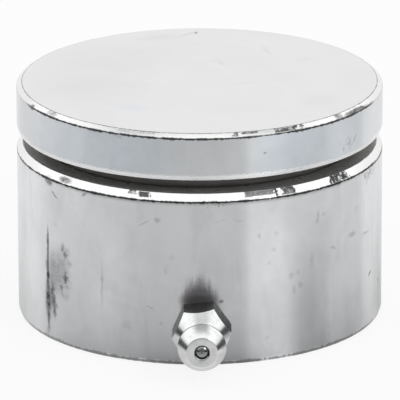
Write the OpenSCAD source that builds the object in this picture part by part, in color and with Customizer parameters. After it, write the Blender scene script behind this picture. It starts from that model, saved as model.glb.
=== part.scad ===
// Weld-on gate pivot hinge: a turned cup and cap that swivel on a thrust ball bearing,
// sealed by a rubber ring and greased through a nipple in the side of the cup.
// Origin at the centre of the cup's base, +Z up the swivel axis, nipple towards -Y.

/* [Body] */
// Outer diameter of the cup and of the cap
body_d = 50; // [46:1:60]
// Height of the cup
cup_h = 24; // [22:0.5:32]
// Thickness of the cup's floor
floor_t = 3; // [2:0.25:4]
// Depth of the grease pocket under the bearing
pocket_depth = 6; // [5:0.25:8]
// Diameter of the grease pocket
pocket_d = 24; // [22:0.5:28]
// Thickness of the cap's plate
cap_t = 6.4; // [4:0.1:12]
// Gap between the cup's rim and the cap's plate
plate_gap = 2; // [1.2:0.1:3.5]
// How far the spigot reaches below the bearing
spigot_past = 0.5; // [0.2:0.1:2]

/* [Edges] */
// Width of the bevel around the top of the cap
cap_bevel_w = 0.75; // [0.2:0.05:2]
// Height of the bevel around the top of the cap
cap_bevel_h = 0.55; // [0.2:0.05:2]
// Width of the bevel around the cup's rim
rim_bevel_w = 0.8; // [0.2:0.05:1.4]
// Height of the bevel around the cup's rim
rim_bevel_h = 1; // [0.2:0.05:2]
// Width of the small break along the lower edges
edge_break_w = 0.2; // [0.1:0.05:0.6]
// Height of the small break along the lower edges
edge_break_h = 0.6; // [0.1:0.05:1]
// Lead-in bevel on the bore, the hub and the spigot
lead_in = 0.5; // [0.2:0.1:0.8]

/* [Thrust bearing] */
// Bore of the bearing
bearing_bore = 20; // [17:0.5:20.5]
// Outer diameter of the bearing
bearing_od = 35; // [32:0.5:38]
// Height of the bearing over both washers
bearing_h = 10; // [9:0.1:11]
// Number of bearing balls
ball_count = 12; // [8:1:13]
// Depth of the race in each washer for each millimetre of a ball's diameter
race_share = 0.17; // [0.1:0.01:0.22]
// Thickness of the ball cage
cage_t = 2.2; // [1.6:0.1:2.4]
// Width of the cage's rim inside and outside the balls
cage_rim = 0.49; // [0.35:0.01:0.8]

/* [Seal] */
// Depth of the groove for the seal ring
groove_depth = 1.1; // [0.6:0.1:1.6]
// Width of the flat between the bore's lead-in and the seal's groove
groove_land = 0.28; // [0.1:0.02:0.8]

/* [Grease nipple] */
// Height of the nipple's axis above the base
nipple_h = 5.4; // [4.6:0.1:6.4]
// Diameter of the nipple's thread
thread_d = 6; // [5:0.25:6.5]
// Length of the threaded shank
thread_len = 5.5; // [4:0.25:7]
// Width of the hexagon across its flats
hex_af = 7; // [6.75:0.25:8]
// Height of the hexagon at the middle of a flat
hex_len = 4; // [3:0.1:4.5]
// Length of the hexagon's cone for each millimetre that its radius shrinks
hex_cone_slope = 1.55; // [1:0.05:2]
// Turn of the hexagon from having a flat upwards, in degrees
hex_turn = 6; // [0:1:30]
// Diameter of the neck behind the head
neck_d = 4.8; // [4.2:0.1:5.4]
// Largest diameter of the head
head_d = 6.5; // [6:0.1:7]
// Diameter of the flat tip
tip_d = 4.2; // [3.6:0.1:4.8]
// Length of the straight neck
neck_len = 0.9; // [0.4:0.1:2]
// Length of the cone behind the head
head_rear = 1.1; // [0.6:0.1:2]
// Length of the head's widest band
head_band = 0.4; // [0.2:0.1:1]
// Length of the cone from the head's widest band to the tip
head_taper = 1.9; // [1:0.1:3]
// Diameter of the opening in the tip
opening_d = 1.9; // [1.6:0.1:2.2]
// Bevel around the opening
opening_bevel = 0.1; // [0.05:0.01:0.2]
// Wall between the check ball's seat and the tip
tip_wall = 0.3; // [0.25:0.05:1]
// Diameter of the check ball
check_ball_d = 2.5; // [2.3:0.05:2.6]
// Diameter of the hole in the shank's rolled-in end
end_hole_d = 1.6; // [1.2:0.1:1.8]
// Length of the shank's rolled-in end
end_lip = 0.8; // [0.5:0.1:1.5]
// Diameter of the check spring's wire
spring_wire = 0.35; // [0.25:0.05:0.4]
// Open turns of the check spring
spring_turns = 6; // [4:1:9]
// Diameter of the grease duct from the nipple to the pocket
duct_d = 2.5; // [1.5:0.25:3]

/* [Fits] */
// Radial clearance of the cap's hub in the bore
hub_clear = 0.05; // [0.02:0.01:0.1]
// Radial clearance of a washer on its seat
washer_clear = 0.02; // [0.01:0.01:0.05]
// Radial clearance between a washer and the half of the hinge that it doesn't turn with
washer_relief = 0.4; // [0.3:0.05:0.6]
// Clearance between a ball and its races
race_clear = 0.05; // [0.03:0.01:0.1]
// Clearance of a ball in its pocket in the cage
pocket_clear = 0.12; // [0.08:0.01:0.2]
// Radial clearance of the cage from the spigot and from the bore
cage_clear = 0.4; // [0.3:0.05:0.6]
// Clearance between the seal ring and the cap's plate
seal_clear = 0.1; // [0.05:0.05:0.3]
// Clearance of the seal ring at each side of its groove
groove_clear = 0.15; // [0.1:0.05:0.3]
// Radial clearance of the nipple's thread
thread_clear = 0.05; // [0.02:0.01:0.1]
// Depth of the nipple's hole beyond the end of the thread
thread_runout = 0.8; // [0.4:0.1:1.2]
// Clearance between the nipple's hexagon and the cup
hex_clear = 0.04; // [0.02:0.01:0.1]
// Clearance of the check ball on its seat and on its spring
check_clear = 0.03; // [0.02:0.01:0.06]
// Radial clearance of the check ball in its chamber
chamber_clear = 0.2; // [0.1:0.05:0.3]
// Radial clearance of the check spring in its chamber
coil_clear = 0.12; // [0.05:0.01:0.2]

/* [Hidden] */
$fn = 96;
body_r = body_d / 2;
seat_z = floor_t + pocket_depth;
bearing_top = seat_z + bearing_h;
bore_r = bearing_od / 2 + washer_clear;
hub_r = bore_r - hub_clear;
spigot_r = bearing_bore / 2 - washer_clear;
spigot_end = seat_z - spigot_past;
cap_z = cup_h + plate_gap;
top_z = cap_z + cap_t;

// The cage fills the room between the spigot and the bore, and the balls fill the cage
cage_inner_r = bearing_bore / 2 + cage_clear;
cage_outer_r = bore_r - cage_clear;
pitch_r = (bearing_bore + bearing_od) / 4;
ball_z = seat_z + bearing_h / 2;
ball_d = cage_outer_r - cage_inner_r - 2 * (cage_rim + pocket_clear);
ball_r = ball_d / 2;
washer_gap = ball_d + 2 * (race_clear - race_share * ball_d);
washer_t = (bearing_h - washer_gap) / 2;

// The seal ring fills the gap above its groove, close to the bore
seal_cord = plate_gap + groove_depth - seal_clear;
groove_w = seal_cord + 2 * groove_clear;
seal_r = bore_r + lead_in + groove_land + groove_w / 2;
groove_z = cup_h - groove_depth;

// Outside of the nipple, measured outwards from the cup's wall
thread_r = thread_d / 2 - thread_clear;
hole_end = thread_len + thread_runout;
cone_end = hex_len + (hex_af - neck_d) / 2 * hex_cone_slope;
head_start = cone_end + neck_len;
band_start = head_start + head_rear;
taper_start = band_start + head_band;
nipple_out = taper_start + head_taper;

// Inside of the nipple
opening_r = opening_d / 2;
chamber_r = check_ball_d / 2 + chamber_clear;
chamber_back = end_lip - thread_len;
seat_out = nipple_out - tip_wall;
check_reach = check_ball_d / 2 + check_clear;
check_ball_out = seat_out - sqrt(pow(check_reach, 2) - pow(opening_r, 2));

// Check spring, with one closed turn at each end
wire_r = spring_wire / 2;
coil_r = chamber_r - coil_clear - wire_r;
spring_back = chamber_back + wire_r + check_clear;
spring_front = check_ball_out - sqrt(pow(check_reach + wire_r, 2) - pow(coil_r, 2));
spring_rise = spring_front - spring_back;
coil_gap = 0.015;
closed_pitch = spring_wire + coil_gap;
turn_steps = 12;
wire_sides = 8;
spring_rings = (spring_turns + 2) * turn_steps;

zinc = [0.76, 0.77, 0.79];
bearing_steel = [0.70, 0.71, 0.72];
cage_steel = [0.60, 0.60, 0.58];
rubber = [0.08, 0.08, 0.08];

function ball_name(i) = str("ball_", i < 10 ? "0" : "", i);

// Turns a shape that stands on the nipple's axis to point out of the cup
module at_nipple() {
    translate([0, -body_r - hex_clear, nipple_h])
        rotate([90, 0, 0])
            children();
}

// Cup: outside, rim with its seal groove, bearing bore, grease pocket and nipple hole
module lower_cup() {
    color(zinc)
        difference() {
            rotate_extrude()
                polygon([
                    [0, 0],
                    [body_r - edge_break_w, 0],
                    [body_r, edge_break_h],
                    [body_r, cup_h - rim_bevel_h],
                    [body_r - rim_bevel_w, cup_h],
                    [seal_r + groove_w / 2, cup_h],
                    [seal_r + groove_w / 2, groove_z],
                    [seal_r - groove_w / 2, groove_z],
                    [seal_r - groove_w / 2, cup_h],
                    [bore_r + lead_in, cup_h],
                    [bore_r, cup_h - lead_in],
                    [bore_r, seat_z],
                    [pocket_d / 2, seat_z],
                    [pocket_d / 2, floor_t],
                    [0, floor_t]
                ]);
            at_nipple() {
                translate([0, 0, -hole_end])
                    cylinder(d = thread_d, h = hole_end + body_r);
                translate([0, 0, -body_r])
                    cylinder(d = duct_d, h = body_r);
            }
        }
}

// Cap: plate, hub that runs in the cup's bore and spigot that carries the bearing
module upper_cap() {
    color(zinc)
        rotate_extrude()
            polygon([
                [0, spigot_end],
                [spigot_r - lead_in, spigot_end],
                [spigot_r, spigot_end + lead_in],
                [spigot_r, bearing_top],
                [hub_r - lead_in, bearing_top],
                [hub_r, bearing_top + lead_in],
                [hub_r, cap_z],
                [body_r - edge_break_w, cap_z],
                [body_r, cap_z + edge_break_h],
                [body_r, top_z - cap_bevel_h],
                [body_r - cap_bevel_w, top_z],
                [0, top_z]
            ]);
}

// Rubber ring of round section
module seal_ring() {
    color(rubber)
        rotate_extrude()
            translate([seal_r, groove_z + seal_cord / 2])
                circle(d = seal_cord);
}

// Bearing washer from radius a to radius b, with its race in the face towards the balls
module washer(a, b, z) {
    color(bearing_steel)
        rotate_extrude()
            difference() {
                translate([a, z])
                    square([b - a, washer_t]);
                translate([pitch_r, ball_z])
                    circle(r = ball_r + race_clear);
            }
}

// Lower washer, seated in the cup
module housing_washer() {
    washer(bearing_bore / 2 + washer_relief, bore_r - washer_clear, seat_z);
}

// Upper washer, seated on the spigot
module shaft_washer() {
    washer(spigot_r + washer_clear, bore_r - washer_relief, bearing_top - washer_t);
}

// Puts a shape at the centre of ball i
module at_ball(i) {
    rotate([0, 0, 360 * (i - 1) / ball_count])
        translate([pitch_r, 0, ball_z])
            children();
}

// Flat ring with a rounded pocket for each ball
module ball_cage() {
    color(cage_steel)
        difference() {
            translate([0, 0, ball_z - cage_t / 2])
                difference() {
                    cylinder(r = cage_outer_r, h = cage_t);
                    translate([0, 0, -cage_t])
                        cylinder(r = cage_inner_r, h = 3 * cage_t);
                }
            for (i = [1:ball_count])
                at_ball(i)
                    sphere(r = ball_r + pocket_clear);
        }
}

// One bearing ball
module bearing_ball(i) {
    color(bearing_steel)
        at_ball(i)
            sphere(r = ball_r);
}

// Grease nipple: threaded shank, hexagon, neck and head, bored for the check ball
module nipple_body() {
    color(zinc)
        at_nipple()
            difference() {
                union() {
                    nipple_hexagon();
                    nipple_turning();
                }
                nipple_bore();
            }
}

// Hexagon with a cone that runs down to the neck
module nipple_hexagon() {
    rotate([0, 0, hex_turn])
        intersection() {
            cylinder(d = hex_af / cos(30), h = cone_end, $fn = 6);
            cylinder(r1 = hex_af / 2 + hex_len / hex_cone_slope, r2 = neck_d / 2, h = cone_end);
        }
}

// Shank, neck and head, turned on one axis
module nipple_turning() {
    rotate_extrude()
        polygon([
            [0, -thread_len],
            [thread_r - lead_in, -thread_len],
            [thread_r, lead_in - thread_len],
            [thread_r, hex_len / 2],
            [neck_d / 2, hex_len / 2],
            [neck_d / 2, head_start],
            [head_d / 2, band_start],
            [head_d / 2, taper_start],
            [tip_d / 2, nipple_out],
            [0, nipple_out]
        ]);
}

// Passage through the nipple: rolled-in end, spring chamber, ball seat and opening
module nipple_bore() {
    rotate_extrude()
        polygon([
            [0, -thread_len - end_lip],
            [end_hole_d / 2, -thread_len - end_lip],
            [end_hole_d / 2, chamber_back],
            [chamber_r, chamber_back],
            [chamber_r, seat_out - chamber_r + opening_r],
            [opening_r, seat_out],
            [opening_r, nipple_out - opening_bevel],
            [opening_r + 2 * opening_bevel, nipple_out + opening_bevel],
            [0, nipple_out + opening_bevel]
        ]);
}

// Check ball in the opening of the tip
module nipple_ball() {
    color(bearing_steel)
        at_nipple()
            translate([0, 0, check_ball_out])
                sphere(d = check_ball_d);
}

// Height of the spring's wire after t turns
function wire_height(t) =
    let (open_pitch = (spring_rise - 2 * closed_pitch) / spring_turns)
    spring_back + min(t, 1) * closed_pitch + max(min(t - 1, spring_turns), 0) * open_pitch
        + max(t - 1 - spring_turns, 0) * closed_pitch;

// Point k around the wire at ring i of the spring
function wire_point(i, k) =
    let (
        t = i / turn_steps,
        around = 360 * k / wire_sides,
        r = coil_r + wire_r * cos(around)
    )
    [r * cos(360 * t), r * sin(360 * t), wire_height(t) + wire_r * sin(around)];

// Coil spring that presses the check ball on its seat
module nipple_spring() {
    points = [
        for (i = [0:spring_rings], k = [0:wire_sides - 1])
            wire_point(i, k)
    ];
    sides = [
        for (i = [0:spring_rings - 1], k = [0:wire_sides - 1])
            let (a = i * wire_sides, b = a + wire_sides, n = (k + 1) % wire_sides)
            [a + k, b + k, b + n, a + n]
    ];
    first_end = [for (k = [0:wire_sides - 1]) k];
    last_end = [for (k = [0:wire_sides - 1]) spring_rings * wire_sides + wire_sides - 1 - k];
    color(bearing_steel)
        at_nipple()
            polyhedron(points, concat(sides, [first_end, last_end]));
}

lower_cup();
upper_cap();
seal_ring();
housing_washer();
shaft_washer();
ball_cage();
for (i = [1:ball_count])
    bearing_ball(i);
nipple_body();
nipple_ball();
nipple_spring();
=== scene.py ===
import math

import bmesh
import bpy
from mathutils import Matrix, Vector


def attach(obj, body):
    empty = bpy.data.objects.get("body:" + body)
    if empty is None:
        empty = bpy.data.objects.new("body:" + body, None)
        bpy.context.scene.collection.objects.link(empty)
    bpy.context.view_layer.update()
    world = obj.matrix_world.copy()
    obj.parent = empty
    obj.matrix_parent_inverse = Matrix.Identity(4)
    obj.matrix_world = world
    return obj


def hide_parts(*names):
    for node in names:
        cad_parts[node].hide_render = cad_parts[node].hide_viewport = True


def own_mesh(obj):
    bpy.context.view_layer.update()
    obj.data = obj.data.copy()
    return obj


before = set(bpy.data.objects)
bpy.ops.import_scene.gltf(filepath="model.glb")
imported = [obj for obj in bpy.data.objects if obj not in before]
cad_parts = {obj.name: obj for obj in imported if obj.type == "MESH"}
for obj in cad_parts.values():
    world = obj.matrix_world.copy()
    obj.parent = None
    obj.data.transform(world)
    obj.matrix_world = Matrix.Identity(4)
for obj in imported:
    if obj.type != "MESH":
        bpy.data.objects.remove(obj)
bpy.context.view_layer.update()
mm = 0.001
scene = bpy.context.scene
scene.view_settings.view_transform = "Standard"
print("frame loaded:", len(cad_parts), "nodes")


# small helpers for node trees

def addNode(tree, kind, **settings):
    node = tree.nodes.new(kind)
    for name, value in settings.items():
        setattr(node, name, value)
    return node


def plug(tree, socket, value):
    # value is either another node's output or a plain number or colour
    if isinstance(value, bpy.types.NodeSocket):
        tree.links.new(value, socket)
    else:
        socket.default_value = value


def calc(tree, operation, *values, clamp=False):
    node = addNode(tree, "ShaderNodeMath", operation=operation, use_clamp=clamp)
    for socket, value in zip(node.inputs, values):
        plug(tree, socket, value)
    return node.outputs[0]


def times(tree, a, b):
    return calc(tree, "MULTIPLY", a, b)


def plus(tree, a, b):
    return calc(tree, "ADD", a, b)


def minus(tree, a, b):
    return calc(tree, "SUBTRACT", a, b)


def most(tree, a, b):
    return calc(tree, "MAXIMUM", a, b)


def howFar(tree, a, b):
    return calc(tree, "SQRT", plus(tree, times(tree, a, a), times(tree, b, b)))


def ramp01(tree, value, low, high):
    # 0 below low, 1 above high, smooth between; low may be the larger one
    node = addNode(tree, "ShaderNodeMapRange", interpolation_type="SMOOTHSTEP")
    for name, v in (("Value", value), ("From Min", low), ("From Max", high)):
        plug(tree, node.inputs[name], v)
    return node.outputs["Result"]


def mixColour(tree, factor, a, b, blend="MIX"):
    node = addNode(tree, "ShaderNodeMix", data_type="RGBA", blend_type=blend)
    plug(tree, node.inputs[0], factor)
    plug(tree, node.inputs[6], a)
    plug(tree, node.inputs[7], b)
    return node.outputs[2]


def mixValue(tree, factor, a, b):
    node = addNode(tree, "ShaderNodeMix", data_type="FLOAT")
    for socket, value in zip(node.inputs[:1] + node.inputs[2:4], (factor, a, b)):
        plug(tree, socket, value)
    return node.outputs[0]


def noise(tree, vector, scale, detail=2.0, roughness=0.5, distortion=0.0):
    node = addNode(tree, "ShaderNodeTexNoise")
    plug(tree, node.inputs["Vector"], vector)
    settings = {"Scale": scale, "Detail": detail, "Roughness": roughness, "Distortion": distortion}
    for name, value in settings.items():
        plug(tree, node.inputs[name], value)
    return node.outputs["Fac"]


def stretch(tree, vector, scale):
    node = addNode(tree, "ShaderNodeMapping")
    plug(tree, node.inputs["Vector"], vector)
    node.inputs["Scale"].default_value = scale
    return node.outputs["Vector"]


def bandRamp(tree, value, low, high, stops):
    # grey ramp over a range of values
    node = addNode(tree, "ShaderNodeValToRGB")
    plug(tree, node.inputs[0], calc(tree, "DIVIDE", minus(tree, value, low), high - low))
    elements = node.color_ramp.elements
    for k, (at, grey) in enumerate(stops):
        stop = elements[k] if k < 2 else elements.new(1.0)
        stop.position = (at - low) / (high - low)
        stop.color = (grey, grey, grey, 1)
    return node.outputs[0]


def newGroup(name, inputs, outputs):
    group = bpy.data.node_groups.new(name, "ShaderNodeTree")
    for label, kind in inputs:
        group.interface.new_socket(label, in_out="INPUT", socket_type="NodeSocket" + kind)
    for label, kind in outputs:
        group.interface.new_socket(label, in_out="OUTPUT", socket_type="NodeSocket" + kind)
    return group, group.nodes.new("NodeGroupInput").outputs, group.nodes.new("NodeGroupOutput").inputs


def useGroup(tree, group, **values):
    node = addNode(tree, "ShaderNodeGroup", node_tree=group)
    for name, value in values.items():
        plug(tree, node.inputs[name], value)
    return node.outputs


def newMaterial(name):
    material = bpy.data.materials.new(name)
    material.use_nodes = True
    tree = material.node_tree
    shader = tree.nodes["Principled BSDF"]
    place = addNode(tree, "ShaderNodeTexCoord").outputs["Object"]
    return material, tree, shader, place


# shared effects

def turnAndReach(tree, x, y):
    # degrees round the swivel axis from the nipple's side, and mm out
    turn = calc(tree, "ARCTAN2", x, times(tree, y, -1.0))
    return calc(tree, "DEGREES", turn), calc(tree, "DIVIDE", howFar(tree, x, y), mm)


def makeAroundUp():
    # place on a turned piece: degrees round the axis, mm out and mm up
    g, i, o = newGroup("aroundUp", [("Place", "Vector")], [(n, "Float") for n in ("Around", "Out", "Up")])
    split = addNode(g, "ShaderNodeSeparateXYZ")
    g.links.new(i["Place"], split.inputs[0])
    x, y, z = split.outputs
    for name, value in zip(("Around", "Out"), turnAndReach(g, x, y)):
        plug(g, o[name], value)
    plug(g, o["Up"], calc(g, "DIVIDE", z, mm))
    return g


def makeMark():
    # one stain or scratch: an ellipse on the wall, leaning and broken up by a grain
    names = ["Around", "Up", "Grain", "At", "Height", "Half Width", "Half Height", "Lean", "Soft", "Patchy"]
    g, i, o = newGroup("wallMark", [(n, "Float") for n in names], [("Mask", "Float")])
    rise = minus(g, i["Up"], i["Height"])
    along = minus(g, minus(g, i["Around"], i["At"]), times(g, rise, i["Lean"]))
    u = calc(g, "DIVIDE", along, i["Half Width"])
    v = calc(g, "DIVIDE", rise, i["Half Height"])
    far = howFar(g, u, v)
    inside = ramp01(g, far, 1.0, minus(g, 1.0, i["Soft"]))
    broken = mixValue(g, i["Patchy"], 1.0, ramp01(g, i["Grain"], 0.42, 0.62))
    plug(g, o["Mask"], times(g, inside, broken))
    return g


def makeTile():
    # one darker, rougher stretch of a bevel: a box with ragged ends, broken up by chips
    names = ["Around", "Up", "Chips", "At", "Half Width", "Low", "High", "Patchy"]
    g, i, o = newGroup("bevelTile", [(n, "Float") for n in names], [("Mask", "Float")])
    ragged = times(g, minus(g, i["Chips"], 0.5), 4.0)
    side = calc(g, "ABSOLUTE", minus(g, i["Around"], i["At"]))
    inside = ramp01(g, minus(g, side, ragged), plus(g, i["Half Width"], 0.15),
                    minus(g, i["Half Width"], 0.15))
    low = plus(g, i["Low"], times(g, ragged, 0.10))
    inside = times(g, inside, ramp01(g, i["Up"], low, plus(g, low, 0.08)))
    inside = times(g, inside, ramp01(g, i["Up"], i["High"], minus(g, i["High"], 0.08)))
    broken = mixValue(g, i["Patchy"], 1.0, ramp01(g, i["Chips"], 0.44, 0.54))
    plug(g, o["Mask"], times(g, inside, broken))
    return g


def makeEdgeShadeLine():
    # painted shade along a turned edge, thick and thin, reaching down the wall below it
    names = ["Out", "Up", "Chips", "Ring", "Height", "Width", "Drop"]
    g, i, o = newGroup("edgeShadeLine", [(n, "Float") for n in names], [("Mask", "Float")])
    rise = minus(g, i["Up"], i["Height"])
    below = calc(g, "DIVIDE", calc(g, "MINIMUM", rise, 0.0), i["Drop"])
    rise = plus(g, most(g, rise, 0.0), below)
    side = minus(g, i["Out"], i["Ring"])
    far = howFar(g, rise, side)
    reach = times(g, i["Width"], mixValue(g, ramp01(g, i["Chips"], 0.34, 0.66), 0.25, 1.0))
    plug(g, o["Mask"], ramp01(g, far, reach, times(g, reach, 0.35)))
    return g


def makePlating():
    # bright zinc plating: slow clouds, drifts up the wall, fine mottling, specks and hairline scuffs
    names = ["Clouds", "Drifts", "Mottle", "Specks", "Scuffs"]
    g, i, o = newGroup("platingMottle", [("Place", "Vector")], [(n, "Float") for n in names])
    plug(g, o["Clouds"], noise(g, i["Place"], 95.0, 3.0, 0.55, 0.6))
    plug(g, o["Drifts"], noise(g, stretch(g, i["Place"], (260.0, 260.0, 75.0)), 1.0, 4.0, 0.6, 0.5))
    plug(g, o["Mottle"], noise(g, i["Place"], 900.0, 3.0, 0.6))
    plug(g, o["Specks"], ramp01(g, noise(g, i["Place"], 420.0, 1.0, 0.4), 0.74, 0.80))
    fine = noise(g, stretch(g, i["Place"], (420.0, 420.0, 1500.0)), 1.0, 2.0, 0.6, 1.5)
    few = ramp01(g, noise(g, i["Place"], 130.0, 1.0), 0.58, 0.72)
    plug(g, o["Scuffs"], times(g, ramp01(g, fine, 0.64, 0.71), few))
    return g


aroundUp = makeAroundUp()
wallMark = makeMark()
bevelTile = makeTile()
edgeShadeLine = makeEdgeShadeLine()
platingMottle = makePlating()


def addMarks(tree, around, up, marks, grain):
    # joins a list of marks into one mask; each mark is scaled by its own strength
    total = 0.0
    for mark in marks:
        values = {"Lean": 0.0, "Soft": 0.6, "Patchy": 0.0}
        values.update({k: v for k, v in mark.items() if k != "Strength"})
        mask = useGroup(tree, wallMark, Around=around, Up=up, Grain=grain, **values)["Mask"]
        total = most(tree, total, times(tree, mask, mark["Strength"]))
    return total


def within(tree, value, low, high, soft):
    # 1 between low and high
    return times(tree, ramp01(tree, value, low - soft, low), ramp01(tree, value, high + soft, high))


# meshes

def turnProfile(points, steps, closed=False):
    # spins an outline of (radius, height) in mm round the Z axis
    bm = bmesh.new()
    verts = [bm.verts.new((r * mm, 0.0, z * mm)) for r, z in points]
    for a, b in zip(verts, verts[1:] + (verts[:1] if closed else [])):
        bm.edges.new((a, b))
    bmesh.ops.spin(bm, geom=bm.verts[:] + bm.edges[:], axis=(0, 0, 1), cent=(0, 0, 0),
                   angle=2 * math.pi, steps=steps, use_merge=True)
    bmesh.ops.remove_doubles(bm, verts=bm.verts[:], dist=1e-7)
    bmesh.ops.recalc_face_normals(bm, faces=bm.faces[:])
    return bm


def roundRings(bm, corners, width, segments):
    # eases the turned edges at the given (radius, height) corners
    def spot(v):
        return v.co.xy.length / mm, v.co.z / mm

    def onCorner(v):
        return any(math.dist(spot(v), corner) < 1e-3 for corner in corners)

    def isRing(edge):
        return math.dist(*map(spot, edge.verts)) < 1e-4

    rings = [e for e in bm.edges if isRing(e) and all(map(onCorner, e.verts))]
    bmesh.ops.bevel(bm, geom=rings, offset=width * mm, offset_type="OFFSET", segments=segments, profile=0.5,
                    affect="EDGES", material=-1, clamp_overlap=True)


def makeObject(name, bm, sharpAngle=28.0):
    mesh = bpy.data.meshes.new(name)
    bm.to_mesh(mesh)
    bm.free()
    mesh.shade_smooth()
    mesh.set_sharp_from_angle(angle=math.radians(sharpAngle))
    piece = bpy.data.objects.new(name, mesh)
    scene.collection.objects.link(piece)
    return piece


def applyModifiers(piece):
    graph = bpy.context.evaluated_depsgraph_get()
    mesh = bpy.data.meshes.new_from_object(piece.evaluated_get(graph))
    piece.modifiers.clear()
    old, piece.data = piece.data, mesh
    bpy.data.meshes.remove(old)


def combine(piece, other, operation):
    # cuts, joins or intersects with another mesh, which is then thrown away
    step = piece.modifiers.new("combine", "BOOLEAN")
    step.operation, step.object, step.solver = operation, other, "EXACT"
    applyModifiers(piece)
    old = other.data
    bpy.data.objects.remove(other)
    bpy.data.meshes.remove(old)


def settle(piece, body, slotName, material, *nodes):
    # weighted normals keep the flats and walls true next to the eased edges
    flat = piece.modifiers.new("flat", "WEIGHTED_NORMAL")
    flat.mode, flat.weight, flat.keep_sharp = "FACE_AREA", 100, True
    applyModifiers(piece)
    piece.data.materials.clear()
    piece.data.materials.append(material)
    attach(piece, body)
    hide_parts(*nodes)
    print("made", piece.name, len(piece.data.polygons), "faces")


# cap

cap = {
    "radius": 25.0, "underside": 26.0, "top": 32.4,
    "bevelWidth": 0.75, "bevelHeight": 0.55,
    "breakWidth": 0.2, "breakHeight": 0.6,
    "hubRadius": 17.47, "hubEnd": 19.0, "spigotRadius": 9.98, "spigotEnd": 8.5, "leadIn": 0.5,
    "easing": 0.07, "steps": 256,
}


def makeCap():
    c = cap
    topEdge = (c["radius"], c["top"] - c["bevelHeight"])
    faceEdge = (c["radius"] - c["bevelWidth"], c["top"])
    lowEdge = (c["radius"], c["underside"] + c["breakHeight"])
    foot = (c["radius"] - c["breakWidth"], c["underside"])
    bm = turnProfile([
        (0, c["spigotEnd"]), (c["spigotRadius"] - c["leadIn"], c["spigotEnd"]),
        (c["spigotRadius"], c["spigotEnd"] + c["leadIn"]), (c["spigotRadius"], c["hubEnd"]),
        (c["hubRadius"] - c["leadIn"], c["hubEnd"]), (c["hubRadius"], c["hubEnd"] + c["leadIn"]),
        (c["hubRadius"], c["underside"]), foot, lowEdge, topEdge, faceEdge, (0, c["top"]),
    ], c["steps"])
    roundRings(bm, [topEdge, faceEdge, lowEdge, foot], c["easing"], 2)
    return makeObject("turnedCap", bm)


# cup

cup = {
    "radius": 25.0, "height": 24.0, "floor": 3.0,
    "bevelWidth": 0.8, "bevelHeight": 1.0, "breakWidth": 0.2, "breakHeight": 0.6,
    "grooveRadius": 19.95, "grooveWidth": 3.3, "grooveDepth": 1.1,
    "boreRadius": 17.52, "seat": 9.0, "pocketRadius": 12.0, "leadIn": 0.5,
    "nippleHeight": 5.4, "holeRadius": 3.0, "holeDepth": 6.3, "ductRadius": 1.25,
    "drillOut": 3.0, "holeSteps": 48,
    "easing": 0.07, "steps": 256, "rows": 36, "sharpAngle": 28.0,
}


def makeCup():
    c = cup
    foot = (c["radius"] - c["breakWidth"], 0)
    lowEdge = (c["radius"], c["breakHeight"])
    rimEdge = (c["radius"], c["height"] - c["bevelHeight"])
    rimFace = (c["radius"] - c["bevelWidth"], c["height"])
    grooveIn, grooveOut = (c["grooveRadius"] + s * c["grooveWidth"] / 2 for s in (-1, 1))
    grooveFloor = c["height"] - c["grooveDepth"]
    bm = turnProfile([
        (0, 0), foot, lowEdge, rimEdge, rimFace,
        (grooveOut, c["height"]), (grooveOut, grooveFloor), (grooveIn, grooveFloor), (grooveIn, c["height"]),
        (c["boreRadius"] + c["leadIn"], c["height"]), (c["boreRadius"], c["height"] - c["leadIn"]),
        (c["boreRadius"], c["seat"]), (c["pocketRadius"], c["seat"]),
        (c["pocketRadius"], c["floor"]), (0, c["floor"]),
    ], c["steps"])
    roundRings(bm, [lowEdge, rimEdge, rimFace, foot, (grooveOut, c["height"])], c["easing"], 2)
    # rows up the wall keep the faces round the nipple's hole small
    wall = [e for e in bm.edges if abs(e.verts[0].co.z - e.verts[1].co.z) > 10 * mm
            and all(v.co.xy.length > (c["radius"] - 0.01) * mm for v in e.verts)]
    bmesh.ops.subdivide_edges(bm, edges=wall, cuts=c["rows"], use_grid_fill=True)
    piece = makeObject("turnedCup", bm)
    drill = turnProfile([
        (0, -c["drillOut"]), (c["holeRadius"], -c["drillOut"]), (c["holeRadius"], c["holeDepth"]),
        (c["ductRadius"], c["holeDepth"]), (c["ductRadius"], c["radius"]), (0, c["radius"]),
    ], c["holeSteps"])
    inward = Matrix.Rotation(-math.pi / 2, 4, "X")
    place = Matrix.Translation((0, -c["radius"] * mm, c["nippleHeight"] * mm)) @ inward
    bmesh.ops.transform(drill, matrix=place, verts=drill.verts[:])
    combine(piece, makeObject("drill", drill), "DIFFERENCE")
    piece.data.shade_smooth()
    piece.data.set_sharp_from_angle(angle=math.radians(c["sharpAngle"]))
    return piece


# grease nipple

nipple = {
    "seat": 25.04, "height": cup["nippleHeight"],
    "threadRadius": 2.95, "threadLength": 5.5, "leadIn": 0.5,
    "hexFlats": 7.0, "hexLength": 4.0, "hexSlope": 1.55, "hexTurn": 36.0,
    "neckRadius": 2.4, "headRadius": 3.25, "tipRadius": 2.1,
    "neckEnd": 6.605, "bandStart": 7.705, "bandEnd": 8.105, "tip": 10.005,
    "openingRadius": 0.95, "openingBevel": 0.1, "tipWall": 0.3, "chamberRadius": 1.45,
    "endHole": 0.8, "endLip": 0.8, "easing": 0.06, "steps": 96, "sharpAngle": 20.0,
}


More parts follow.
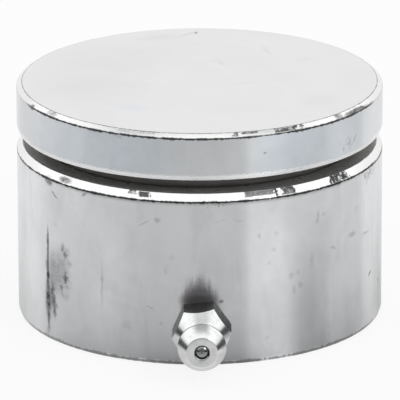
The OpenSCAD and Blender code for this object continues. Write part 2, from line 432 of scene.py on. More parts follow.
def makeNipple():
    n = nipple
    coneEnd = n["hexLength"] + (n["hexFlats"] / 2 - n["neckRadius"]) * n["hexSlope"]
    seatOut = n["tip"] - n["tipWall"]
    lipOut = n["openingRadius"] + n["openingBevel"]
    lipIn = n["tip"] - n["openingBevel"]
    chamberEnd = n["endLip"] - n["threadLength"]
    headEdges = [(n["headRadius"], n["bandStart"]), (n["headRadius"], n["bandEnd"])]
    tipEdges = [(n["tipRadius"], n["tip"]), (lipOut, n["tip"])]
    turned = turnProfile([
        (n["endHole"], -n["threadLength"]), (n["threadRadius"] - n["leadIn"], -n["threadLength"]),
        (n["threadRadius"], n["leadIn"] - n["threadLength"]), (n["threadRadius"], n["hexLength"] / 2),
        (n["neckRadius"], n["hexLength"] / 2), (n["neckRadius"], n["neckEnd"]), *headEdges, *tipEdges,
        (n["openingRadius"], lipIn), (n["openingRadius"], seatOut),
        (n["chamberRadius"], seatOut - n["chamberRadius"] + n["openingRadius"]),
        (n["chamberRadius"], chamberEnd), (n["endHole"], chamberEnd),
    ], n["steps"], closed=True)
    roundRings(turned, headEdges + tipEdges, n["easing"], 3)
    # hexagon prism trimmed by the cone that runs down to the neck, bored through
    prism = bmesh.new()
    corner = n["hexFlats"] / 2 / math.cos(math.pi / 6) * mm
    bmesh.ops.create_cone(prism, cap_ends=True, segments=6, radius1=corner, radius2=corner,
                          depth=coneEnd * mm, matrix=Matrix.Translation((0, 0, coneEnd / 2 * mm)))
    upright = [e for e in prism.edges if abs(e.verts[0].co.z - e.verts[1].co.z) > mm]
    bmesh.ops.bevel(prism, geom=upright, offset=n["easing"] * mm, offset_type="OFFSET", segments=2,
                    profile=0.5, affect="EDGES", material=-1, clamp_overlap=True)
    hexTurn = Matrix.Rotation(math.radians(n["hexTurn"]), 4, "Z")
    bmesh.ops.transform(prism, matrix=hexTurn, verts=prism.verts[:])
    hexagon = makeObject("nippleHexagon", prism)
    wide = n["hexFlats"] / 2 + n["hexLength"] / n["hexSlope"]
    cone = turnProfile([(0, 0), (wide, 0), (n["neckRadius"], coneEnd), (0, coneEnd)], n["steps"])
    combine(hexagon, makeObject("cone", cone), "INTERSECT")
    inner = (n["chamberRadius"] + n["neckRadius"]) / 2
    bore = turnProfile([(0, -1), (inner, -1), (inner, coneEnd + 1), (0, coneEnd + 1)], n["steps"])
    combine(hexagon, makeObject("bore", bore), "DIFFERENCE")
    piece = makeObject("greaseNipple", turned)
    combine(piece, hexagon, "UNION")
    place = Matrix.Translation((0, -n["seat"] * mm, n["height"] * mm)) @ Matrix.Rotation(math.pi / 2, 4, "X")
    piece.data.transform(place)
    piece.data.shade_smooth()
    piece.data.set_sharp_from_angle(angle=math.radians(n["sharpAngle"]))
    return piece


# seal ring

seal = {
    "ringRadius": cup["grooveRadius"], "centre": 24.4, "cord": 3.0,
    "steps": 192, "sides": 40, "sharpAngle": 60.0,
}


def makeSeal():
    # round cord spun into a ring
    bm = bmesh.new()
    start = bm.verts.new(((seal["ringRadius"] + seal["cord"] / 2) * mm, 0, seal["centre"] * mm))
    centre = (seal["ringRadius"] * mm, 0, seal["centre"] * mm)
    bmesh.ops.spin(bm, geom=[start], axis=(0, 1, 0), cent=centre, angle=2 * math.pi,
                   steps=seal["sides"], use_merge=True)
    bmesh.ops.remove_doubles(bm, verts=bm.verts[:], dist=1e-7)
    bmesh.ops.spin(bm, geom=bm.verts[:] + bm.edges[:], axis=(0, 0, 1), cent=(0, 0, 0), angle=2 * math.pi,
                   steps=seal["steps"], use_merge=True)
    bmesh.ops.remove_doubles(bm, verts=bm.verts[:], dist=1e-7)
    bmesh.ops.recalc_face_normals(bm, faces=bm.faces[:])
    return makeObject("sealRing", bm, seal["sharpAngle"])


# zinc plate on the cap and the cup

zinc = {
    "dull": 0.90, "dullFace": 0.965, "gloss": 0.145, "mottle": 0.06, "coarse": 0.25,
    "turned": 0.88, "faceTurned": 0.2, "bumpStrength": 0.06, "bumpDepth": 0.02,
    # the bevel colour and the glint colour are lighter tones that paint highlights
    "bevel": (0.95, 0.95, 0.945, 1), "bloom": (0.76, 0.82, 0.90, 1), "paintedGlint": (0.95, 0.95, 0.95, 1),
    # the dark colour on the next line darkens stains and painted shade alike
    "scuff": (0.25, 0.25, 0.26, 1), "scuffed": 0.25, "grimeAndShade": (0.035, 0.034, 0.033, 1),
    "bevelDark": (0.025, 0.025, 0.027, 1), "bevelDarkLight": (0.10, 0.10, 0.105, 1), "bevelFrom": (24.1, 24.2),
    # the next colours paint shade in the gap, and the matt smear above the nipple, which is partly painted
    # shade
    "grease": (0.115, 0.108, 0.10, 1), "hazeAndShade": (0.20, 0.187, 0.20, 1), "blown": 2.8,
    # scale and reach of the ragged outlines, round the wall and up it, and how much further smudges wander
    "ragged": [(800.0, 1.3), (950.0, 0.45)], "wander": 2.4,
    # degrees from the nipple between which the painted edge shade fades, and how softly
    "sides": (72.0, 108.0, 8.0),
}


def mark(at, height, halfWidth, halfHeight, strength, **more):
    return {"At": at, "Height": height, "Half Width": halfWidth, "Half Height": halfHeight,
            "Strength": strength, **more}


def addStainsAndShade(tree, place, spot, level, grain, wear):
    # marks on the wall have ragged outlines, and smudges wander more than scratches do
    around, out, up = spot
    turn, lift = (times(tree, minus(tree, noise(tree, place, scale, 2.0, 0.6), 0.5), reach)
                  for scale, reach in zinc["ragged"])
    stainAndShade = addMarks(tree, plus(tree, around, turn), plus(tree, up, lift), wear["marks"], grain)
    wander = [calc(tree, "MULTIPLY_ADD", shift, zinc["wander"], at)
              for shift, at in ((turn, around), (lift, up))]
    smudged = addMarks(tree, *wander, wear["smudges"], noise(tree, place, 1100.0, 3.0, 0.65))
    stainAndShade = times(tree, most(tree, stainAndShade, smudged), minus(tree, 1.0, level))
    onFace = addMarks(tree, around, out, wear["faceMarks"], grain)
    return most(tree, stainAndShade, times(tree, onFace, level))


def addEdgeShadeLines(tree, spot, uneven, lines):
    # painted shade as dark lines along the turned edges, the gap and the cup's foot
    around, out, up = spot
    beside = within(tree, calc(tree, "ABSOLUTE", around), *zinc["sides"])
    total = 0.0
    for ring, height, width, drop, strength, kept in lines:
        mask = useGroup(tree, edgeShadeLine, Out=out, Up=up, Chips=uneven, Ring=ring, Height=height, Width=width,
                        Drop=drop)["Mask"]
        total = most(tree, total, times(tree, mask, mixValue(tree, beside, strength, strength * kept)))
    return total


def addBevelPatches(tree, spot, chips, tiles):
    # darker, rougher stretches of the bevel
    around, out, up = spot
    total = 0.0
    for at, half, low, high, patchy, strength in tiles:
        values = {"At": at, "Half Width": half, "Low": low, "High": high, "Patchy": patchy}
        mask = useGroup(tree, bevelTile, Around=around, Up=up, Chips=chips, **values)["Mask"]
        total = most(tree, total, times(tree, mask, strength))
    return times(tree, total, ramp01(tree, out, *zinc["bevelFrom"]))


def addGapShade(tree, spot, slow, grease):
    # painted shade on the faces that meet in the gap, as a dark matt film
    _, out, up = spot
    low, high, outer, strength = grease
    gapFilmShade = times(tree, within(tree, up, low, high, 0.02), ramp01(tree, out, outer + 0.1, outer))
    return times(tree, gapFilmShade, mixValue(tree, ramp01(tree, slow, 0.35, 0.65), strength * 0.85, strength))


def addHazeAndShade(tree, place, spot, grain, hazeAndShade):
    # matt smear up the wall in grease streaks, partly painted shadow and reflection of the nipple
    around, _, up = spot
    streaks = minus(tree, noise(tree, stretch(tree, place, (1600.0, 1600.0, 90.0)), 1.0, 3.0, 0.6), 0.5)
    return addMarks(tree, around, plus(tree, up, times(tree, streaks, zinc["blown"])), hazeAndShade, grain)


def dimmed(colour, share):
    return tuple(c * share for c in colour[:3]) + (1,)


def makeZinc(name, wear):
    material, tree, shader, place = newMaterial(name)
    found = useGroup(tree, aroundUp, Place=place)
    spot = around, out, up = found["Around"], found["Out"], found["Up"]
    plating = useGroup(tree, platingMottle, Place=place)
    grain = noise(tree, place, 2100.0, 4.0, 0.7, 0.5)
    chips = noise(tree, stretch(tree, place, (2200.0, 2200.0, 1200.0)), 1.0, 3.0, 0.65)
    slow = noise(tree, stretch(tree, place, (420.0, 420.0, 0.0)), 1.0, 3.0, 0.6)
    split = addNode(tree, "ShaderNodeSeparateXYZ")
    tree.links.new(place, split.inputs[0])
    level = within(tree, calc(tree, "DIVIDE", split.outputs["Z"], mm), *wear["face"], 0.02)
    stainAndShade = addStainsAndShade(tree, place, spot, level, grain, wear)
    uneven = plus(tree, times(tree, chips, 0.55), times(tree, slow, 0.45))
    edgeShade = addEdgeShadeLines(tree, spot, uneven, wear["lines"])
    bevelPatch = addBevelPatches(tree, spot, chips, wear["tiles"])
    gapFilmShade = addGapShade(tree, spot, slow, wear["grease"])
    hazeAndShade = addHazeAndShade(tree, place, spot, grain, wear["hazeAndShade"])
    # plate, cloudy and a little uneven up the wall
    plate = bandRamp(tree, around, -180.0, 180.0, wear["cast"])
    plate = mixColour(tree, plate, wear["plate"], wear["tinted"])
    white = (1, 1, 1, 1)
    dull = mixColour(tree, ramp01(tree, plating["Clouds"], 0.35, 0.7), white, dimmed(white, zinc["dull"]))
    wall = mixColour(tree, 1.0, plate, dull, "MULTIPLY")
    drifts = times(tree, ramp01(tree, plating["Drifts"], 0.46, 0.72), wear["drift"])
    wall = mixColour(tree, drifts, wall, zinc["scuff"])
    scuffs = times(tree, most(tree, plating["Scuffs"], plating["Specks"]), zinc["scuffed"])
    wall = mixColour(tree, scuffs, wall, zinc["scuff"])
    # painted highlight: bright grain along the lower edge
    edgeLow, edgeHigh, lit = wear["paintedHighlightEdge"]
    paintedGlint = times(tree, within(tree, up, edgeLow, edgeHigh, 0.2), ramp01(tree, grain, 0.30, 0.52))
    paintedGlint = times(tree, paintedGlint, lit)
    wall = mixColour(tree, paintedGlint, wall, zinc["paintedGlint"])
    # the bevels, and the cap's top face, take lighter plate tones than the wall: painted highlight
    face = mixColour(tree, ramp01(tree, plating["Clouds"], 0.3, 0.75), wear["facePlate"],
                     dimmed(wear["facePlate"], zinc["dullFace"]))
    face = mixColour(tree, addMarks(tree, around, out, wear["blooms"], grain), face, zinc["bloom"])
    tone = mixColour(tree, ramp01(tree, up, wear["faceFrom"] - 0.02, wear["faceFrom"]), wall, zinc["bevel"])
    tone = mixColour(tree, level, tone, face)
    bevelPatchTone = mixColour(tree, ramp01(tree, chips, 0.40, 0.66), zinc["bevelDark"], zinc["bevelDarkLight"])
    tone = mixColour(tree, bevelPatch, tone, bevelPatchTone)
    tone = mixColour(tree, gapFilmShade, tone, zinc["grease"])
    tone = mixColour(tree, hazeAndShade, tone, zinc["hazeAndShade"])
    # stains, the smear and the painted edge shade darken the plate with one dark colour
    plug(tree, shader.inputs["Base Color"], mixColour(tree, most(tree, stainAndShade, edgeShade), tone, zinc["grimeAndShade"]))
    matt = most(tree, gapFilmShade, hazeAndShade)
    rough = mixValue(tree, plating["Mottle"], *(zinc["gloss"] + s * zinc["mottle"] / 2 for s in (-1, 1)))
    coarse = times(tree, most(tree, bevelPatch, most(tree, matt, paintedGlint)), zinc["coarse"])
    plug(tree, shader.inputs["Roughness"], plus(tree, rough, coarse))
    plug(tree, shader.inputs["Metallic"], minus(tree, 1.0, times(tree, matt, 0.9)))
    # the lathe's fine grooves run round the axis
    plug(tree, shader.inputs["Anisotropic"], mixValue(tree, level, zinc["turned"], zinc["faceTurned"]))
    shader.inputs["Anisotropic Rotation"].default_value = 0.25
    lie = addNode(tree, "ShaderNodeTangent", direction_type="RADIAL", axis="Z")
    tree.links.new(lie.outputs[0], shader.inputs["Tangent"])
    bump = addNode(tree, "ShaderNodeBump")
    bump.inputs["Strength"].default_value = zinc["bumpStrength"]
    bump.inputs["Distance"].default_value = zinc["bumpDepth"] * mm
    plug(tree, bump.inputs["Height"], plating["Mottle"])
    tree.links.new(bump.outputs[0], shader.inputs["Normal"])
    return material


# a mark has degrees from the nipple, height (radius on a face), half width, half height and strength
# a line of painted edge shade has ring radius, height, width, how far it reaches down the wall, strength and
# the share kept at the sides
# a tile has degrees, half width, low, high, how patchy it is and strength
# painted gap shade has low, high, outer radius and strength, and the painted highlight at the lower edge has
# low, high and strength

cupWear = {
    "plate": (0.772, 0.78, 0.787, 1), "tinted": (0.765, 0.78, 0.795, 1), "cast": [(-180, 0.5), (180, 0.5)],
    "facePlate": (0.78, 0.78, 0.775, 1), "face": (23.98, 24.5), "faceFrom": 23.0, "drift": 0.12,
    "marks": [
        # the run of rust on the left
        mark(-55.6, 13.4, 0.9, 3.6, 0.86, Soft=0.6, Patchy=0.25),
        mark(-55.7, 8.6, 1.1, 7.2, 0.86, Soft=0.6, Patchy=0.15),
        mark(-55.7, 9.15, 1.6, 1.1, 0.96, Soft=0.7),
        mark(-55.8, 10.6, 2.2, 1.8, 0.60, Soft=0.9, Patchy=0.3),
        mark(-55.6, 5.9, 2.5, 4.6, 1.0, Soft=0.85, Patchy=0.25),
        mark(-55.5, 3.6, 1.1, 3.2, 0.90, Soft=0.8, Patchy=0.2),
        # a thin run, scratches and spots to the right of it
        mark(-32.2, 10.2, 0.7, 4.4, 0.24, Soft=0.9, Patchy=0.3),
        mark(-32.2, 11.0, 0.8, 0.7, 0.30, Soft=0.9),
        mark(-51.8, 21.0, 1.0, 0.55, 0.70, Soft=0.8, Lean=-3.0, Patchy=0.4),
        mark(-38.7, 22.4, 1.1, 0.5, 0.60, Soft=0.8, Lean=2.5, Patchy=0.3),
        mark(-17.8, 19.75, 0.6, 0.7, 0.30, Soft=0.8, Lean=3.6),
        mark(-13.5, 20.3, 1.9, 0.6, 0.42, Soft=0.9, Patchy=0.9),
        mark(-10.7, 13.4, 1.4, 1.0, 0.22, Soft=0.95, Patchy=0.6),
        mark(-9.2, 15.1, 1.3, 0.8, 0.18, Soft=0.95, Patchy=0.6),
        mark(-16.1, 8.0, 0.7, 0.35, 0.28, Soft=0.8, Lean=-5.0),
        mark(-23.3, 5.0, 2.6, 1.1, 0.18, Soft=0.95, Patchy=0.7),
        # dirt at the rim
        mark(-54.8, 22.6, 2.8, 0.9, 0.85, Soft=0.8, Patchy=0.5),
        mark(-47.6, 23.5, 3.9, 0.5, 0.86, Soft=0.6, Patchy=0.3),
        mark(6.0, 22.75, 4.5, 0.5, 0.45, Soft=0.8, Patchy=0.9),
        mark(47.8, 22.9, 1.6, 0.7, 0.50, Soft=0.9, Patchy=0.4),
        mark(63.0, 22.2, 1.4, 0.9, 0.50, Soft=0.9, Patchy=0.4),
        mark(64.2, 21.6, 0.7, 1.4, 0.40, Soft=0.9, Patchy=0.4),
        mark(66.5, 22.1, 5.0, 1.1, 0.55, Soft=0.9, Patchy=0.8),
        # faint marks on the right
        mark(23.8, 17.9, 1.2, 0.5, 0.13, Soft=0.95),
        mark(21.4, 13.85, 1.2, 0.5, 0.12, Soft=0.95),
        mark(38.9, 19.3, 1.1, 1.1, 0.26, Soft=0.95, Patchy=0.2),
        mark(41.2, 19.2, 1.3, 0.5, 0.14, Soft=0.95),
        mark(57.2, 18.2, 2.2, 0.8, 0.13, Soft=0.95, Patchy=0.4),
        mark(54.9, 14.85, 3.4, 0.6, 0.34, Soft=0.9, Patchy=0.2),
        mark(64.0, 14.0, 3.8, 0.28, 0.30, Soft=0.8, Patchy=0.2),
        mark(45.4, 14.0, 1.7, 0.5, 0.24, Soft=0.95, Lean=-3.0),
        mark(36.5, 13.2, 1.5, 1.7, 0.15, Soft=0.95, Patchy=0.4),
        mark(28.9, 11.6, 1.6, 0.9, 0.20, Soft=0.95, Patchy=0.3),
        mark(31.2, 11.9, 1.2, 0.6, 0.18, Soft=0.95, Patchy=0.3),
        mark(32.1, 10.05, 1.3, 0.8, 0.19, Soft=0.95, Patchy=0.3),
        mark(30.0, 9.5, 1.0, 1.0, 0.22, Soft=0.95, Patchy=0.3),
        mark(67.2, 7.65, 0.9, 0.5, 0.85, Soft=0.7, Lean=3.0),
        mark(76.5, 5.46, 1.5, 0.6, 0.50, Soft=0.8),
        mark(79.5, 4.8, 4.0, 3.8, 0.22, Soft=0.9),
        # grease streaks above the nipple, with painted shadow and reflection of the nipple
        mark(-0.7, 9.2, 7.4, 1.7, 0.80, Soft=0.8),
        mark(-0.6, 10.2, 5.6, 1.9, 0.55, Soft=0.9, Patchy=0.2),
        mark(-3.2, 11.0, 0.9, 1.5, 0.36, Soft=0.95, Patchy=0.2),
        mark(-0.4, 11.2, 1.1, 1.6, 0.36, Soft=0.95, Patchy=0.2),
        mark(2.4, 11.0, 0.9, 1.5, 0.36, Soft=0.95, Patchy=0.2),
        mark(6.1, 8.95, 0.9, 0.4, 0.60, Soft=0.8),
    ],
    # dirt beside the run of rust
    "smudges": [
        mark(-49.8, 10.2, 6.8, 4.8, 0.45, Soft=0.8, Patchy=0.25),
        mark(-52.8, 9.6, 4.2, 5.0, 0.52, Soft=0.8, Patchy=0.2),
        mark(-53.4, 6.7, 2.6, 3.8, 0.90, Soft=0.9, Patchy=0.3),
        mark(-52.4, 5.3, 1.5, 3.0, 0.95, Soft=0.9, Patchy=0.3),
        mark(-47.0, 12.9, 3.0, 1.5, 0.78, Soft=0.9, Patchy=0.6),
        mark(-48.0, 13.6, 1.6, 1.4, 0.62, Soft=0.9, Patchy=0.5),
        mark(-45.5, 11.9, 1.8, 0.9, 0.62, Soft=0.9, Patchy=0.5),
        mark(-47.0, 9.6, 3.6, 2.2, 0.78, Soft=0.9, Patchy=0.7),
        mark(-48.6, 8.3, 3.0, 1.2, 0.64, Soft=0.9, Patchy=0.6),
        mark(-47.9, 7.2, 3.4, 1.1, 0.42, Soft=0.9, Patchy=0.5),
        mark(-53.2, 7.6, 2.6, 2.0, 0.68, Soft=0.9, Patchy=0.4),
    ],
    # matt smear above the nipple: grease streaks and painted shadow of the nipple
    "hazeAndShade": [mark(-0.6, 9.0, 7.0, 3.2, 0.97, Soft=0.5), mark(-0.6, 10.4, 6.0, 2.9, 0.80, Soft=0.9)],
    "faceMarks": [], "blooms": [],
    # painted shade along the rim's edges, the gap and the foot
    "lines": [
        (25.0, 23.0, 0.26, 1.5, 0.95, 1.0), (24.2, 24.0, 0.10, 1.0, 0.7, 1.0),
        (25.0, 0.25, 0.60, 1.0, 0.62, 1.0),
    ],
    "tiles": [
        (-21.8, 1.7, 23.5, 24.0, 0.6, 0.95), (-17.9, 1.9, 23.3, 23.95, 0.1, 0.95),
        (3.0, 2.2, 23.0, 23.2, 0.8, 0.8), (18.3, 5.0, 23.35, 24.0, 0.15, 0.9),
        (24.0, 0.25, 23.0, 24.0, 0.0, 1.0), (28.2, 2.3, 23.1, 24.0, 0.35, 0.97),
        (49.2, 4.6, 23.05, 24.0, 0.7, 1.0),
    ],
    "grease": (23.97, 24.1, 24.12, 0.62), "paintedHighlightEdge": (0.0, 0.5, 0.0),
}
capWear = {
    "plate": (0.742, 0.75, 0.756, 1), "tinted": (0.70, 0.75, 0.80, 1),
    # how blue the plate is, by degrees from the nipple
    "cast": [
        (-180, 0.5), (-90, 0.3), (-68, 0.1), (-58, 0.5), (-45, 0.75), (-25, 1.0), (-14, 0.9), (-7, 0.3),
        (13, 0.15), (17, 0.5), (24, 1.0), (38, 0.9), (52, 0.6), (68, 0.2), (90, 0.3), (180, 0.5),
    ],
    # the top face's plate is lighter than the wall's, a painted highlight
    "facePlate": (0.905, 0.905, 0.905, 1), "face": (32.39, 33.0), "faceFrom": 31.86, "drift": 0.05,
    "marks": [
        # spots, and a faint wide painted shade on the wall
        mark(20.0, 29.4, 0.9, 0.25, 0.40, Soft=0.8),
        mark(53.0, 28.0, 3.2, 1.5, 0.28, Soft=0.9, Patchy=0.9),
        mark(50.2, 27.4, 0.8, 0.6, 0.3, Soft=0.8, Patchy=0.5),
        mark(56.0, 28.4, 0.9, 0.9, 0.3, Soft=0.8, Lean=2.0, Patchy=0.5),
        mark(-42.0, 29.2, 54.0, 9.0, 0.055, Soft=0.6),
        # dirt on the bevel
        mark(-65.3, 31.8, 2.1, 0.5, 0.92, Soft=0.7, Patchy=0.2),
        mark(-54.0, 32.15, 3.6, 0.35, 0.72, Soft=0.7, Patchy=0.6),
        mark(48.8, 32.15, 2.3, 0.6, 0.75, Soft=0.5, Patchy=0.4),
        mark(58.0, 31.98, 8.6, 0.32, 0.95, Soft=0.5, Patchy=0.25),
    ],
    "smudges": [], "hazeAndShade": [],
    "faceMarks": [
        # the scratch at the back edge is written twice, as it lies where the degrees start again
        mark(-176.7, 21.7, 1.4, 1.9, 0.22, Soft=0.8, Lean=-2.9, Patchy=0.2),
        mark(183.3, 21.7, 1.4, 1.9, 0.22, Soft=0.8, Lean=-2.9, Patchy=0.2),
        mark(-179.2, 21.95, 0.9, 0.5, 0.65, Soft=0.6), mark(180.8, 21.95, 0.9, 0.5, 0.65, Soft=0.6),
        # scuffs and clouds
        mark(144.0, 16.1, 1.9, 1.8, 0.13, Soft=0.9, Lean=4.7, Patchy=0.3),
        mark(146.0, 16.6, 4.5, 2.4, 0.05, Soft=0.9, Lean=3.0),
        mark(157.0, 7.9, 6.5, 0.8, 0.12, Soft=0.9, Lean=6.0, Patchy=0.3),
        mark(160.0, 8.4, 12.0, 1.6, 0.045, Soft=0.9, Lean=6.0),
        mark(122.2, 17.4, 3.2, 1.3, 0.08, Soft=0.9, Patchy=0.4),
        mark(122.2, 17.4, 6.0, 2.6, 0.035, Soft=0.9),
        mark(72.0, 6.5, 4.4, 2.6, 0.035, Soft=0.9, Lean=7.6),
        mark(-103.0, 15.0, 78.0, 11.0, 0.050, Soft=0.7),
        mark(-140.0, 15.6, 28.0, 5.0, 0.055, Soft=0.95, Patchy=0.2),
        mark(-164.0, 20.6, 16.0, 2.6, 0.085, Soft=0.95, Patchy=0.3),
        mark(58.0, 19.0, 16.0, 4.5, 0.055, Soft=0.95),
    ],
    "blooms": [mark(-35.3, 15.6, 12.0, 2.6, 0.5, Soft=0.95)],
    # painted shade along the cap's edges
    "lines": [(25.0, 31.85, 0.30, 1.4, 0.95, 0.15), (24.25, 32.4, 0.15, 1.0, 0.8, 0.8)],
    "tiles": [
        (-25.0, 2.2, 32.05, 32.35, 0.6, 0.3), (-17.0, 2.5, 32.1, 32.4, 0.6, 0.3),
        (10.7, 1.0, 31.95, 32.4, 0.5, 0.9), (15.3, 2.4, 32.1, 32.4, 0.5, 0.95),
        (27.5, 3.8, 31.9, 32.4, 0.6, 0.97), (32.9, 0.5, 31.9, 32.4, 0.5, 0.95),
    ],
    "grease": (18.0, 26.02, 24.72, 0.7), "paintedHighlightEdge": (26.0, 26.7, 1.0),
}

capZinc = makeZinc("capZinc", capWear)
cupZinc = makeZinc("cupZinc", cupWear)


# bright plate on the nipple

bright = {
    "plate": (0.90, 0.91, 0.90, 1), "grey": (0.76, 0.78, 0.78, 1), "gloss": (0.16, 0.27),
    # the mouth colour is painted shade in the recess round the check ball
    "mouthShade": (0.40, 0.40, 0.40, 1), "mouthRadius": (1.10, 1.05),
    # painted dark reflection on the upper flats with grease streaks, thin in the middle and thick at the
    # sides
    "grease": (0.03, 0.028, 0.03, 1), "smear": (0.60, 0.86),
    "smearSides": (1.5, 2.4), "smearRise": (-0.5, 0.3),
}


def makeBright():
    material, tree, shader, place = newMaterial("brightPlate")
    plating = useGroup(tree, platingMottle, Place=place)
    tone = mixColour(tree, ramp01(tree, plating["Mottle"], 0.4, 0.75), bright["plate"], bright["grey"])
    split = addNode(tree, "ShaderNodeSeparateXYZ")
    tree.links.new(place, split.inputs[0])
    side, deep, top = (calc(tree, "DIVIDE", v, mm) for v in split.outputs)
    rise = minus(tree, top, nipple["height"])
    far = howFar(tree, side, rise)
    along = minus(tree, times(tree, deep, -1.0), nipple["seat"])
    # painted shade darkens the mouth round the check ball, and painted dark reflection with grease streaks
    # darkens the upper flats of the hexagon
    tone = mixColour(tree, ramp01(tree, far, *bright["mouthRadius"]), tone, bright["mouthShade"])
    flats = plus(tree, along, times(tree, far, nipple["hexSlope"]))
    edge = nipple["hexLength"] + nipple["hexFlats"] / 2 * nipple["hexSlope"]
    flats = times(tree, ramp01(tree, flats, edge, edge - 0.12), ramp01(tree, rise, *bright["smearRise"]))
    streaks = noise(tree, stretch(tree, place, (1200.0, 300.0, 1200.0)), 1.0, 3.0, 0.6)
    streaks = mixValue(tree, ramp01(tree, streaks, 0.3, 0.6), 0.8, 1.0)
    thick = ramp01(tree, calc(tree, "ABSOLUTE", side), *bright["smearSides"])
    thick = times(tree, mixValue(tree, thick, *bright["smear"]), streaks)
    tone = mixColour(tree, times(tree, flats, thick), tone, bright["grease"])
    plug(tree, shader.inputs["Base Color"], tone)
    plug(tree, shader.inputs["Roughness"], mixValue(tree, plating["Mottle"], *bright["gloss"]))
    shader.inputs["Metallic"].default_value = 1.0
    return material


# plain steels inside: ground washers, polished balls, pressed cage and spring wire

def makeSteel(name, colour, gloss, scale):
    material, tree, shader, place = newMaterial(name)
    cloud = noise(tree, place, scale, 3.0, 0.6)
    plug(tree, shader.inputs["Base Color"], mixColour(tree, cloud, colour + (1,), dimmed(colour, 0.8)))
    plug(tree, shader.inputs["Roughness"], mixValue(tree, cloud, gloss - 0.05, gloss + 0.08))
    shader.inputs["Metallic"].default_value = 1.0
    return material


# black rubber

rubber = {"black": (0.15, 0.142, 0.136, 1), "dusty": (0.21, 0.198, 0.186, 1), "gloss": 0.30, "sheen": 0.9}


def makeRubber():
    material, tree, shader, place = newMaterial("sealRubber")
    dust = ramp01(tree, noise(tree, place, 260.0, 4.0, 0.6), 0.45, 0.75)
    plug(tree, shader.inputs["Base Color"], mixColour(tree, dust, rubber["black"], rubber["dusty"]))
    plug(tree, shader.inputs["Roughness"], mixValue(tree, dust, rubber["gloss"], rubber["gloss"] + 0.2))
    shader.inputs["Specular IOR Level"].default_value = rubber["sheen"]
    return material


settle(makeCap(), "cap", "zinc_plate", capZinc, "upper_cap")
settle(makeCup(), "cup", "zinc_plate", cupZinc, "lower_cup")
settle(makeNipple(), "cup", "nipple_plate", makeBright(), "nipple_body")
settle(makeSeal(), "cup", "seal_rubber", makeRubber(), "seal_ring")

ballSteel = makeSteel("ballSteel", (0.72, 0.73, 0.74), 0.10, 500.0)
checkSteel = makeSteel("checkSteel", (0.36, 0.37, 0.37), 0.12, 900.0)
raceSteel = makeSteel("raceSteel", (0.64, 0.65, 0.66), 0.25, 300.0)
cageSteel = makeSteel("cageSteel", (0.55, 0.55, 0.53), 0.35, 300.0)
wireSteel = makeSteel("wireSteel", (0.58, 0.58, 0.60), 0.28, 800.0)
for name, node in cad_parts.items():
    finish = (checkSteel if name == "nipple_ball" else cageSteel if name == "ball_cage" else
              ballSteel if "ball_" in name else raceSteel if "washer" in name else wireSteel)
    if not node.hide_render:
        node.data.materials.clear()
        node.data.materials.append(finish)
print("materials set")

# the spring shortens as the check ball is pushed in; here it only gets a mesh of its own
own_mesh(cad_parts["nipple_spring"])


# floor, light and camera

studio = {
    "floorColour": (0.87, 0.87, 0.86, 1), "floorSize": 4.0, "floorWhite": 0.85,
    # painted shade on the floor, as the polished wall mirrors it, by mm from the cup
    "floorShade": [
        (0, 0.38), (1.8, 0.46), (4.5, 0.57), (9, 0.68), (15, 0.79), (24, 0.91), (30, 0.95), (40, 1.0),
    ],
    "shadeReach": 40.0, "dimReach": (50.0, 24.0),
    # how much of that shade is lifted again, and how much is dimmed, by degrees round the wall
    "shadeLift": [
        (-180, 0.6), (-84, 0.6), (-74, 0.68), (-62, 0.66), (-48, 0.32), (-40, 0.25), (-35, 0.33),
        (-30, 0.32), (-24, 0.28), (-18, 0.20), (-13, 0.05), (-8, 0.0), (12, 0.0), (17, 0.2), (21, 0.5),
        (26, 0.65), (30, 0.5), (34, 0.58), (38, 0.45), (42, 0.22), (46, 0.34), (55, 0.37), (60, 0.58),
        (70, 0.68), (76, 0.62), (84, 0.48), (96, 0.6), (180, 0.6),
    ],
    "shadeDim": [
        (-180, 0.0), (28, 0.0), (31, 0.14), (34, 0.28), (38, 0.31), (42, 0.18), (46, 0.09), (55, 0.12),
        (64, 0.10), (72, 0.02), (88, 0.08), (100, 0.0), (180, 0.0),
    ],
    # brightness of the panels round the part, by degrees from the camera's side
    "panels": [
        (-180, 0.88), (-160, 0.87), (-148, 0.89), (-136, 0.95), (-123, 0.97), (-119, 0.90), (-82, 0.84),
        (-70, 0.815), (-59, 0.785), (-48, 0.73), (-36, 0.68), (-27, 0.65), (-20, 0.67), (0, 0.67),
        (24, 0.715), (28, 0.77), (32, 0.95), (42, 0.95), (52, 0.93), (62, 0.83), (74, 0.80), (84, 0.81),
        (92, 0.88), (104, 0.875), (114, 0.84), (122, 0.83), (126, 0.94), (136, 0.94), (150, 0.90),
        (162, 0.86), (180, 0.88),
    ],
    # room behind the camera and dark horizon, by degrees to each side and by height from -1 to 1
    "behindCamera": (0.30, 0.30, 0.30, 1), "roomSides": (42.0, 26.0),
    "horizon": (0.05, 0.05, 0.05, 1), "horizonSides": (140.0, 124.0),
    "darkFrom": (-0.24, -0.15), "darkTo": (0.22, 0.60), "darkFade": 0.10,
    "table": (1.1, 1.1, 1.1, 1), "tableFrom": (-0.50, -0.75),
    "overhead": (1.10, 1.105, 1.11, 1), "boxesFrom": (0.50, 0.70), "boxesAside": 0.30, "boxesFront": 0.18,
    "slot": (0.36, 0.37, 0.37, 1), "slotAside": (0.58, 0.20), "slotBack": (0.09, 0.45, 0.03),
}


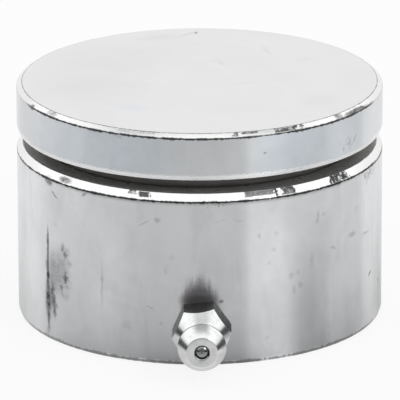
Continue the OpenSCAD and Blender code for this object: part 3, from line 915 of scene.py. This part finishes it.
def makeFloor():
    bm = bmesh.new()
    bmesh.ops.create_grid(bm, x_segments=1, y_segments=1, size=studio["floorSize"] / 2)
    floor = makeObject("floor", bm)
    material, tree, shader, place = newMaterial("paleFloor")
    tree.nodes.remove(shader)
    path = addNode(tree, "ShaderNodeLightPath").outputs
    matt = addNode(tree, "ShaderNodeBsdfDiffuse")
    matt.inputs["Color"].default_value = studio["floorColour"]
    white = addNode(tree, "ShaderNodeEmission")
    seen = addNode(tree, "ShaderNodeMixShader")
    plug(tree, seen.inputs[0], times(tree, path["Is Camera Ray"], studio["floorWhite"]))
    tree.links.new(matt.outputs[0], seen.inputs[1])
    tree.links.new(white.outputs[0], seen.inputs[2])
    # the polished metal looks through the floor at the studio's panels, through a painted shade that is
    # darker close to the part
    split = addNode(tree, "ShaderNodeSeparateXYZ")
    tree.links.new(place, split.inputs[0])
    around, out = turnAndReach(tree, split.outputs["X"], split.outputs["Y"])
    away = minus(tree, out, cup["radius"])
    shade = bandRamp(tree, away, 0.0, studio["shadeReach"], studio["floorShade"])
    # degrees round the wall at which this spot is mirrored
    mirrorAt = calc(tree, "DIVIDE", out, plus(tree, out, away))
    mirrorAt = times(tree, around, mirrorAt)
    lift = bandRamp(tree, mirrorAt, -180.0, 180.0, studio["shadeLift"])
    dim = bandRamp(tree, mirrorAt, -180.0, 180.0, studio["shadeDim"])
    dim = times(tree, dim, ramp01(tree, away, *studio["dimReach"]))
    clear = addNode(tree, "ShaderNodeBsdfTransparent")
    shade = mixColour(tree, dim, mixColour(tree, lift, shade, (1, 1, 1, 1)), (0, 0, 0, 1))
    plug(tree, clear.inputs["Color"], shade)
    mirrored = addNode(tree, "ShaderNodeMixShader")
    plug(tree, mirrored.inputs[0], path["Is Glossy Ray"])
    tree.links.new(seen.outputs[0], mirrored.inputs[1])
    tree.links.new(clear.outputs[0], mirrored.inputs[2])
    tree.links.new(mirrored.outputs[0], tree.nodes["Material Output"].inputs["Surface"])
    floor.data.materials.append(material)


def makeStudio():
    world = bpy.data.worlds.new("studio")
    scene.world = world
    world.use_nodes = True
    world.cycles.sampling_method = "NONE"
    tree = world.node_tree
    back = tree.nodes["Background"]
    split = addNode(tree, "ShaderNodeSeparateXYZ")
    tree.links.new(addNode(tree, "ShaderNodeTexCoord").outputs["Generated"], split.inputs[0])
    x, y, z = split.outputs
    turn = calc(tree, "DEGREES", calc(tree, "ARCTAN2", x, times(tree, y, -1.0)))
    aside = calc(tree, "ABSOLUTE", x)
    facing = calc(tree, "ABSOLUTE", turn)
    ring = bandRamp(tree, turn, -180.0, 180.0, studio["panels"])
    # the dark room behind the camera, and a dark horizon to both sides
    front = ramp01(tree, facing, *studio["roomSides"])
    top = mixValue(tree, front, *studio["darkTo"])
    below = ramp01(tree, z, top, minus(tree, top, studio["darkFade"]))
    dark = times(tree, ramp01(tree, z, *studio["darkFrom"]), below)
    dark = times(tree, dark, ramp01(tree, facing, *studio["horizonSides"]))
    room = mixColour(tree, dark, ring, mixColour(tree, front, studio["horizon"], studio["behindCamera"]))
    # light comes up from the table close to the part
    room = mixColour(tree, ramp01(tree, z, *studio["tableFrom"]), room, studio["table"])
    # softboxes overhead, lower at the sides, with a gap between them behind the part
    rise = plus(tree, z, times(tree, aside, studio["boxesAside"]))
    rise = minus(tree, rise, times(tree, front, studio["boxesFront"]))
    slot = times(tree, ramp01(tree, aside, *studio["slotAside"]), within(tree, y, *studio["slotBack"]))
    boxes = mixColour(tree, slot, studio["overhead"], studio["slot"])
    room = mixColour(tree, ramp01(tree, rise, *studio["boxesFrom"]), room, boxes)
    path = addNode(tree, "ShaderNodeLightPath").outputs
    plug(tree, back.inputs["Color"], mixColour(tree, path["Is Camera Ray"], room, (1, 1, 1, 1)))


lamp = {"place": (0.54, -0.60, 0.54), "size": 0.26, "watts": 1.0}


def makeLamp():
    data = bpy.data.lights.new("softbox", "AREA")
    data.shape, data.size, data.energy = "SQUARE", lamp["size"], lamp["watts"]
    light = bpy.data.objects.new("softbox", data)
    light.location = lamp["place"]
    light.rotation_euler = (-Vector(lamp["place"])).to_track_quat("-Z", "Y").to_euler()
    scene.collection.objects.link(light)


camera = {
    "place": (-0.0053, -0.7597, 0.2675), "aim": (0.00003, 0.0, 0.01505), "roll": -0.155,
    "lens": 524.7, "sensor": 36.0,
}


def makeCamera():
    data = bpy.data.cameras.new("camera")
    data.lens, data.sensor_width = camera["lens"], camera["sensor"]
    view = bpy.data.objects.new("camera", data)
    view.location = camera["place"]
    aim = (Vector(camera["aim"]) - view.location).to_track_quat("-Z", "Y").to_matrix()
    roll = Matrix.Rotation(math.radians(camera["roll"]), 3, "Z")
    view.rotation_euler = (aim @ roll).to_euler()
    scene.collection.objects.link(view)
    scene.camera = view


makeFloor()
makeStudio()
makeLamp()
makeCamera()
print("studio set")
